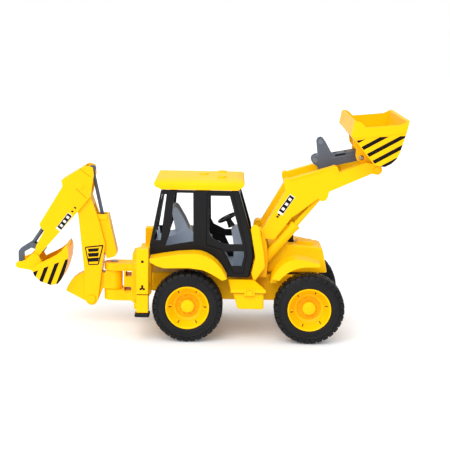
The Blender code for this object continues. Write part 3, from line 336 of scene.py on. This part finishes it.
def soften(node, width):
    """Round a moulded part's edges with modifiers, leaving its mesh as it came."""
    weld = node.modifiers.new("Weld", "WELD")
    weld.merge_threshold = 0.01 * MM
    flat = node.modifiers.new("Flatten", "DECIMATE")
    flat.decimate_type = "DISSOLVE"
    flat.angle_limit = radians(1.0)
    if width:
        edge = node.modifiers.new("Edge", "BEVEL")
        edge.width = width * MM
        edge.segments = 2
        edge.limit_method = "ANGLE"
        edge.angle_limit = radians(32)
        edge.harden_normals = True
        edge.miter_outer = "MITER_ARC"


for name, node in NODES.items():
    slot = node.data.materials[0].name
    node.data.materials[0] = OWN_LOOK.get(name, LOOKS[slot])
    soften(node, FINE_EDGE.get(name, EDGE))


# ---- shape helpers ----------------------------------------------------------------------
def point(x, y, z):
    return Vector((x, y, z)) * MM


def arc(centre, radius, start, end, steps):
    """Points on an arc in X, Z, from start to end in degrees."""
    turns = [radians(start + (end - start) * i / steps) for i in range(steps + 1)]
    return [(centre[0] + radius * cos(t), centre[1] + radius * sin(t)) for t in turns]


def prism(bm, outline, span, look=0):
    """Add a flat (X, Z) outline given thickness between the two Y values of span."""
    near, far = [[bm.verts.new(point(x, y, z)) for x, z in outline] for y in span]
    faces = [bm.faces.new(near), bm.faces.new(far[::-1])]
    for i in range(len(outline)):
        j = (i + 1) % len(outline)
        faces.append(bm.faces.new((near[j], near[i], far[i], far[j])))
    for face in faces:
        face.material_index = look


def swept(bm, rings, look=0, closed=False):
    """Add a skin through rings of (x, y, z) points in millimetres, capped unless closed."""
    loops = [[bm.verts.new(point(*place)) for place in ring] for ring in rings]
    count = len(loops[0])
    pairs = list(zip(loops, loops[1:] + loops[:1])) if closed else list(zip(loops, loops[1:]))
    faces = [bm.faces.new((a[i], a[(i + 1) % count], b[(i + 1) % count], b[i]))
             for a, b in pairs for i in range(count)]
    if not closed:
        faces += [bm.faces.new(loops[0][::-1]), bm.faces.new(loops[-1])]
    for face in faces:
        face.material_index = look


def turned(bm, profile, centre, steps, look=0):
    """Add a body of (radius, Y) points turned about the Y axis through (X, Z) centre."""
    rings = []
    for i in range(steps):
        turn = 2 * pi * i / steps
        rings.append([(centre[0] + r * cos(turn), y, centre[1] + r * sin(turn))
                      for r, y in profile])
    swept(bm, rings, look, closed=True)


def dome(bm, centre, y, height, radius):
    """Add a domed head standing out from the plane y by the signed height."""
    profile = [(0.01, y), (radius, y), (radius, y + height * 0.25),
               (radius * 0.86, y + height * 0.66), (radius * 0.5, y + height * 0.93),
               (0.01, y + height)]
    turned(bm, profile, centre, 20)


def piece(name, bm, body, slot, *looks, edge=0.0):
    """Finish a mesh as a named piece that rides on a body, with its edges rounded by edge."""
    bmesh.ops.recalc_face_normals(bm, faces=bm.faces)
    mesh = bpy.data.meshes.new(name)
    bm.to_mesh(mesh)
    bm.free()
    made = bpy.data.objects.new(name, mesh)
    bpy.context.scene.collection.objects.link(made)
    for look in looks:
        mesh.materials.append(look)
    mesh.shade_smooth()
    mesh.set_sharp_from_angle(angle=radians(SMOOTH_BELOW))
    if edge:
        made_edge = made.modifiers.new("Edge", "BEVEL")
        made_edge.width = edge * MM
        made_edge.segments = 2
        made_edge.limit_method = "ANGLE"
        made_edge.angle_limit = radians(30)
    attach(made, body)
    return made


# ---- wheels -----------------------------------------------------------------------------
def round_axle(axle, radius, turn, y):
    """The point at a radius and a turn in radians about an axle."""
    return (axle[0] + radius * cos(turn), y, axle[1] + radius * sin(turn))


def tyre(place, name, axle, side, lean):
    """A carcass with a beaded sidewall and two rows of square shoulder lugs."""
    middle = (TYRE_OUT + TYRE_IN) / 2
    half = (TYRE_OUT - TYRE_IN) / 2
    wall = [(26.1, half - 1.6), (26.6, half - 0.7), (27.6, half - 0.3), (31.0, half - 0.2),
            (33.9, half - 0.7), (34.2, half - 0.3), (34.8, half - 0.3), (35.1, half - 1.0),
            (37.4, half - 1.9), (39.4, half - 3.4), (40.5, half - 5.6), (40.7, 0.0)]
    profile = wall + [(r, -y) for r, y in reversed(wall[:-1])]
    bm = bmesh.new()
    turned(bm, [(r, (middle + y) * side) for r, y in profile], axle, WHEEL_STEPS)
    block = [(35.9, half - 1.6), (36.6, half - 0.9), (39.2, half - 1.3), (40.9, half - 2.6),
             (TREAD_R, half - 4.6), (TREAD_R, 0.8), (40.2, 0.8), (37.2, half - 3.6)]
    pitch = 2 * pi / LUGS
    for row in (1, -1):
        for i in range(LUGS):
            start = pitch * (i + (0.5 if row < 0 else 0.0)) + lean
            rings = []
            for share in (0.0, 0.4, 0.8):
                turn = start + pitch * share
                rings.append([round_axle(axle, r, turn + 0.03 * (half - y) / half * side,
                                         (middle + y * row) * side) for r, y in block])
            swept(bm, rings)
    made = piece(f"{place}_tyre_lugged_{name}", bm, f"{place}_wheel_{name}", "tyre", RUBBER,
                 edge=0.25)
    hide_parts(f"{place}_tyre_{name}")


def rim(place, name, axle, side, lean):
    """A deep dished rim: a flange, cleats beside slots filled with dark-brown painted shade, a
    ring of bolts and a hub cap.
    """
    out = TYRE_OUT - 1.0
    profile = [(0.01, -7.6), (6.6, -7.6), (7.5, -8.1), (7.9, -9.0), (8.1, -13.6), (12.6, -13.9),
               (13.8, -13.0), (14.2, -11.6), (15.4, -10.8), (17.4, -10.3), (21.8, -5.2),
               (23.0, -2.8), (23.3, -1.6), (23.9, -0.5), (24.7, 0.0), (25.6, -0.2), (25.9, -0.9),
               (25.9, -25.0), (23.2, -25.0), (21.4, -15.0), (8.0, -16.4), (8.0, -19.0),
               (3.4, -19.0), (3.4, -10.5), (0.01, -10.5)]
    bm = bmesh.new()
    turned(bm, [(r, (out + y) * side) for r, y in profile], axle, WHEEL_STEPS)
    for i in range(BOLTS):
        turn = 2 * pi * i / BOLTS + lean
        centre = (axle[0] + BOLT_CIRCLE * cos(turn), axle[1] + BOLT_CIRCLE * sin(turn))
        turned(bm, [(0.01, (out - 14.2) * side), (1.35, (out - 14.2) * side),
                    (1.35, (out - 12.7) * side), (1.0, (out - 12.3) * side),
                    (0.01, (out - 12.3) * side)], centre, 10)
    for i in range(CLEATS):
        turn = 2 * pi * i / CLEATS + lean
        rings = []
        for share in (-0.075, 0.075):
            rings.append([round_axle(axle, r, turn + share, (out + y) * side)
                          for r, y in ((18.8, -9.4), (18.8, -6.9), (20.9, -5.5), (22.0, -5.7),
                                       (22.0, -7.4))])
        swept(bm, rings)
        # each slot is a thin dark-brown strip flush with the dish: painted shade, where the slot
        # and the cleat's shadow are dark
        slot = [[round_axle(axle, r, turn + share, (out + y) * side)
                 for r, y in ((19.2, -7.6), (19.2, -6.6), (22.3, -4.2), (22.3, -5.6))]
                for share in (0.078, 0.125)]
        swept(bm, slot, 1)
    cap = [(0.01, -7.5), (6.7, -7.5), (7.6, -8.0), (8.0, -9.0), (8.1, -10.0), (0.01, -10.0)]
    turned(bm, [(r, (out + y) * side) for r, y in cap], axle, WHEEL_STEPS, 2)
    made = piece(f"{place}_rim_dished_{name}", bm, f"{place}_wheel_{name}", "yellow_plastic",
                 RIM, HOLE_SHADE_AND_SEAM, YELLOW, edge=0.15)
    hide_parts(f"{place}_rim_{name}")


for name, side in SIDES:
    for place, axle, lean in (("rear", REAR_AXLE, REAR_TURN),
                              ("front", FRONT_AXLE, FRONT_TURN)):
        tyre(place, name, axle, side, lean)
        rim(place, name, axle, side, lean)


# ---- stickers ---------------------------------------------------------------------------
def slanted(start, end, width, along, across):
    """A rectangle's corners on a strip from start to end; spans are shares of its size."""
    direction = (Vector(end) - Vector(start)).normalized()
    length = (Vector(end) - Vector(start)).length
    square = Vector((-direction.y, direction.x))
    corners = []
    for u, v in ((0, 0), (1, 0), (1, 1), (0, 1)):
        place = (Vector(start) + direction * length * along[u]
                 + square * width * (across[v] - 0.5))
        corners.append((place.x, place.y))
    return corners


def strip_sticker(name, body, start, end, width, face, side, marks):
    """A dark strip with a white end and three plain white bars, and small marks beyond it."""
    bm = bmesh.new()
    levels = [(face + lift) * side for lift in PRINT_LAYERS]
    prism(bm, slanted(start, end, width, (0.0, 1.0), (0.0, 1.0)), levels[:2])
    prism(bm, slanted(start, end, width, (0.1, 0.97), (0.04, 0.96)), levels[1:3], 1)
    for low in (0.22, 0.48, 0.74):
        prism(bm, slanted(start, end, width, (low, low + 0.12), (0.24, 0.76)), levels[2:])
    for low in marks:
        prism(bm, slanted(start, end, width, (low, low + 0.08), (0.3, 0.72)), levels[:2], 1)
    piece(name, bm, body, "black_plastic", WHITE, INK)


def boom_panel(name, side):
    """A plain dark frame with three bars, where the machine carries its sign."""
    bm = bmesh.new()
    levels = [(BOOM_FACE + lift) * side for lift in PRINT_LAYERS]
    prism(bm, [(-148.2, 99.6), (-147.0, 101.0), (-126.4, 103.6), (-125.3, 102.6),
               (-131.0, 79.6), (-132.2, 78.6), (-143.0, 77.9), (-144.0, 78.8)], levels[:2])
    prism(bm, [(-146.8, 99.4), (-127.2, 101.8), (-132.4, 80.0), (-142.9, 79.3)], levels[1:3], 1)
    for low, high in ((82.0, 86.6), (88.2, 92.8), (94.4, 98.4)):
        prism(bm, [(-143.6, low), (-131.9, low + 0.9), (-130.8, high + 1.2), (-144.6, high)],
              levels[2:])
    piece(name, bm, "boom", "black_plastic", INK, YELLOW)


for name, side in SIDES:
    strip_sticker(f"dipper_label_{name}", "dipper", (-180.4, 121.7), (-165.3, 141.4), 6.6,
                  DIPPER_FACE, side, (1.13, 1.36))
    strip_sticker(f"arm_label_{name}", "loader", (87.4, 150.4), (102.2, 172.6), 7.0, ARM_FACE,
                  side, (-0.2, -0.09))
    boom_panel(f"boom_panel_{name}", side)


# ---- small moulded and metal details --------------------------------------------------------
def bucket_screw(name, side):
    """The domed screw head on the bucket bracket."""
    bm = bmesh.new()
    dome(bm, LINK_PIN, BRACKET_FACE * side, 1.7 * side, 3.1)
    piece(f"bucket_screw_{name}", bm, "front_bucket", "steel", STEEL)


def plates(name, body, slot, look, outlines, span, side, edge=0.0):
    """Flat raised or printed shapes on one side of the machine."""
    bm = bmesh.new()
    for outline in outlines:
        prism(bm, outline, [y * side for y in span])
    piece(name, bm, body, slot, look, edge=edge)


def line(start, end, width):
    """The corners of a straight strip from start to end."""
    return slanted(start, end, width, (0.0, 1.0), (0.0, 1.0))


def disc(centre, radius, steps=18):
    """A round outline as a polygon."""
    return arc(centre, radius, 0, 360 - 360 / steps, steps - 1)


DOOR_OPENING = [(0.5, 175.7), (31.8, 175.7), (47.2, 118), (49.6, 100), (45.2, 79.5), (33.6, 79.5),
                (19, 108), (0.5, 113.5)]
DOOR_MIDDLE = Vector((26.0, 128.0))


def door_stops(name, side):
    """Thin lips round the door opening that close the gap behind the shut door."""
    rims = [[DOOR_MIDDLE + (Vector(place) - DOOR_MIDDLE) * share for place in DOOR_OPENING]
            for share in (1.03, 0.955)]
    outlines = [[rims[0][i], rims[0][i + 1], rims[1][i + 1], rims[1][i]]
                for i in range(-1, len(DOOR_OPENING) - 1)]
    plates(f"door_stop_{name}", "root", "black_plastic", BLACK, outlines,
           DOOR_STOP_SPAN, side)


def stabiliser_marks(name, side):
    """Painted shade in the screw hole and the three-lobed moulding hole, as dark-brown discs, and
    the seam over the leg.
    """
    x, z = STABILISER_LOBES
    lobes = [disc((x + 2.3 * cos(radians(turn)), z + 2.3 * sin(radians(turn))), 1.45, 12)
             for turn in (90, 215, 325)]
    # the discs are painted shade for the holes' dark insides; the thin line is the seam
    shapes = [disc(STABILISER_HOLE, 1.7), disc(STABILISER_LOBES, 1.5, 12), *lobes,
              line((-79.6, 57.6), (-66.4, 57.6), 0.5)]
    plates(f"stabiliser_marks_{name}", "root", "black_plastic", HOLE_SHADE_AND_SEAM, shapes,
           (STABILISER_FACE - 0.4, STABILISER_FACE + FILM), side)


def box_seam_shades(name, side):
    """The joint under the side box's lid and the outline moulded in its latch, as dark amber
    lines of painted shade.
    """
    # painted shade under the lid's lip, along its joint
    shapes = [line((31.6, 61.0), (46.8, 61.0), 0.7), line((59.2, 61.0), (71.4, 61.0), 0.7)]
    plates(f"box_seam_{name}", "root", "yellow_plastic", GROOVE_SHADE, shapes,
           (BOX_FACE - 2.6, BOX_FACE + FILM), side)
    # painted shade round the latch's moulded outline
    latch = [line((49.4, 60.2), (49.4, 64.2), 0.5), line((56.6, 60.2), (56.6, 64.2), 0.5),
             line((50.2, 64.6), (55.8, 64.6), 0.5), line((47.4, 58.1), (58.6, 58.1), 0.4)]
    plates(f"latch_shade_lines_{name}", "root", "yellow_plastic", GROOVE_SHADE, latch,
           (LATCH_FACE - 0.2, LATCH_FACE + FILM), side)


def digger_details(name, side):
    """The dipper's moulded lines, as dark amber painted shade, its pivot boss, and the collar on
    the cylinder casing.
    """
    # the lines are painted shade in the dipper's moulded grooves
    plates(f"dipper_groove_shade_{name}", "dipper", "yellow_plastic", GROOVE_SHADE,
           [line((-153.6, 197.2), (-140.4, 187.2), 0.6),
            line((-158.2, 172.8), (-145.3, 161.1), 0.6)],
           (DIPPER_FACE - 0.1, DIPPER_FACE + 0.05), side)
    bm = bmesh.new()
    dome(bm, DIPPER_PIVOT, DIPPER_FACE * side, 0.7 * side, 4.8)
    piece(f"dipper_boss_{name}", bm, "dipper", "yellow_plastic", YELLOW)
    collar = [(-134.0, 140.5), (-120.2, 140.5), (-121.6, 134.4), (-132.8, 134.4)]
    plates(f"casing_collar_{name}", "boom", "yellow_plastic", YELLOW, [collar],
           (CASING_FACE - 0.1, CASING_FACE + 0.9), side, 0.25)


def arm_ribs(name, side):
    """The raised rib under the upper edge of a loader arm."""
    rib = [(98.0, 190.6), (147.4, 205.6), (151.4, 206.4), (154.6, 199.6), (156.6, 200.0),
           (153.2, 208.0), (150.8, 208.8), (146.8, 207.2), (98.4, 192.1)]
    plates(f"arm_rib_{name}", "loader", "yellow_plastic", YELLOW, [rib],
           (ARM_FACE - 0.1, ARM_FACE + 0.7), side, 0.2)


def arm_web(name, side):
    """The inner wall of an arm's channel, which hangs below its edge behind the cylinder."""
    web = [(96, 135.6), (103, 145), (112.5, 152), (123.4, 161), (131, 167.5), (133, 165),
           (117.5, 146), (109, 134)]
    plates(f"arm_web_{name}", "loader", "yellow_plastic", YELLOW, [web],
           ARM_WEB_SPAN, side, 0.2)


def link_bosses(name, side):
    """The tilt link's three round bosses and its rib, in a lighter grey as a painted highlight,
    and its slot, a dark film of painted shade.
    """
    bm = bmesh.new()
    for centre, radius in (((135.6, 234.2), 2.7), ((129.6, 212.0), 3.0), ((138.2, 200.4), 2.4)):
        profile = [(0.01, -0.2), (radius, -0.2), (radius, 0.5), (radius - 0.4, 0.8),
                   (radius * 0.5, 0.8), (radius * 0.45, 0.3), (0.01, 0.3)]
        turned(bm, [(r, (LINK_FACE + lift) * side) for r, lift in profile], centre, 20)
    # the bosses' lighter grey is a painted highlight
    piece(f"link_boss_{name}", bm, "tilt_link", "grey_plastic", HIGHLIGHT_GREY)
    # the slot is a thin ink-dark film: painted shade in the link's recess
    slot = [(153.0, 219.4), (165.6, 221.8), (166.2, 219.8), (153.4, 217.4)]
    plates(f"link_slot_shade_{name}", "tilt_link", "black_plastic", INK, [slot],
           (LINK_FACE - 0.1, LINK_FACE + 0.08), side)
    # the rib's lighter grey is a painted highlight
    rib = [line((150.5, 215.4), (176.0, 220.2), 0.8)]
    plates(f"link_rib_{name}", "tilt_link", "grey_plastic", HIGHLIGHT_GREY, rib,
           (LINK_FACE - 0.1, LINK_FACE + 0.5), side, 0.2)


for name, side in SIDES:
    arm_web(name, side)
    link_bosses(name, side)
    bucket_screw(name, side)
    door_stops(name, side)
    stabiliser_marks(name, side)
    box_seam_shades(name, side)
    digger_details(name, side)
    arm_ribs(name, side)


# ---- studio -----------------------------------------------------------------------------
def studio():
    """A pale floor, a surround that lights more from overhead, and one broad soft light.

    The light comes from behind the camera's left shoulder. The camera itself sees the
    surround at full strength, as a white ground.
    """
    mesh = bpy.data.meshes.new("studio_floor")
    turns = [2 * pi * i / FLOOR_STEPS for i in range(FLOOR_STEPS)]
    ring = [(FLOOR_RADIUS * cos(turn), FLOOR_RADIUS * sin(turn), -FLOOR_DROP) for turn in turns]
    mesh.from_pydata(ring, [], [list(range(FLOOR_STEPS))])
    floor = bpy.data.objects.new("studio_floor", mesh)
    bpy.context.scene.collection.objects.link(floor)
    g = Graph("studio_floor_look")
    g.link(g.mix(g.spread(g.noise(3.0), 0.0, 1.0), colour(0.90, 0.90, 0.91),
                 colour(0.88, 0.88, 0.89)), g.shader.inputs["Base Color"])
    g.shader.inputs["Roughness"].default_value = 0.6
    g.shader.inputs["Emission Color"].default_value = WHITE_LIGHT
    g.shader.inputs["Emission Strength"].default_value = FLOOR_GLOW
    mesh.materials.append(g.material)
    world = bpy.data.worlds.new("studio_surround")
    world.use_nodes = True
    tree = world.node_tree
    background = tree.nodes["Background"]
    background.inputs["Color"].default_value = WHITE_LIGHT
    direction = tree.nodes.new("ShaderNodeTexCoord").outputs["Generated"]
    height = tree.nodes.new("ShaderNodeSeparateXYZ")
    overhead = tree.nodes.new("ShaderNodeMapRange")
    overhead.inputs["To Min"].default_value = SKY_LOW
    overhead.inputs["To Max"].default_value = SKY_HIGH
    seen = tree.nodes.new("ShaderNodeMath")
    seen.operation = "MAXIMUM"
    tree.links.new(direction, height.inputs[0])
    tree.links.new(height.outputs[2], overhead.inputs["Value"])
    tree.links.new(overhead.outputs[0], seen.inputs[0])
    tree.links.new(tree.nodes.new("ShaderNodeLightPath").outputs["Is Camera Ray"], seen.inputs[1])
    tree.links.new(seen.outputs[0], background.inputs["Strength"])
    bpy.context.scene.world = world
    data = bpy.data.lights.new("soft_key", "SUN")
    data.angle = radians(KEY_SPREAD)
    data.energy = KEY_POWER
    lamp = bpy.data.objects.new("soft_key", data)
    bpy.context.scene.collection.objects.link(lamp)
    lamp.rotation_euler = Vector(KEY_AIM).to_track_quat("-Z", "Y").to_euler()


def camera():
    """The photograph's viewpoint: square to the right side, from above the roof's height."""
    yaw, pitch, roll = radians(YAW), radians(PITCH), radians(ROLL)
    forward = Vector((sin(yaw) * cos(pitch), cos(yaw) * cos(pitch), -sin(pitch)))
    level = Vector((cos(yaw), -sin(yaw), 0.0))
    up = level.cross(forward)
    right = cos(roll) * level + sin(roll) * up
    top = -sin(roll) * level + cos(roll) * up
    data = bpy.data.cameras.new("camera")
    data.lens = LENS
    data.sensor_width = 36.0
    data.clip_start = 0.01
    data.clip_end = 50.0
    view = bpy.data.objects.new("camera", data)
    bpy.context.scene.collection.objects.link(view)
    turn = Matrix((right, top, -forward)).transposed().to_4x4()
    view.matrix_world = Matrix.Translation(point(*EYE)) @ turn
    bpy.context.scene.camera = view
    bpy.context.scene.view_settings.view_transform = "Standard"


studio()
camera()
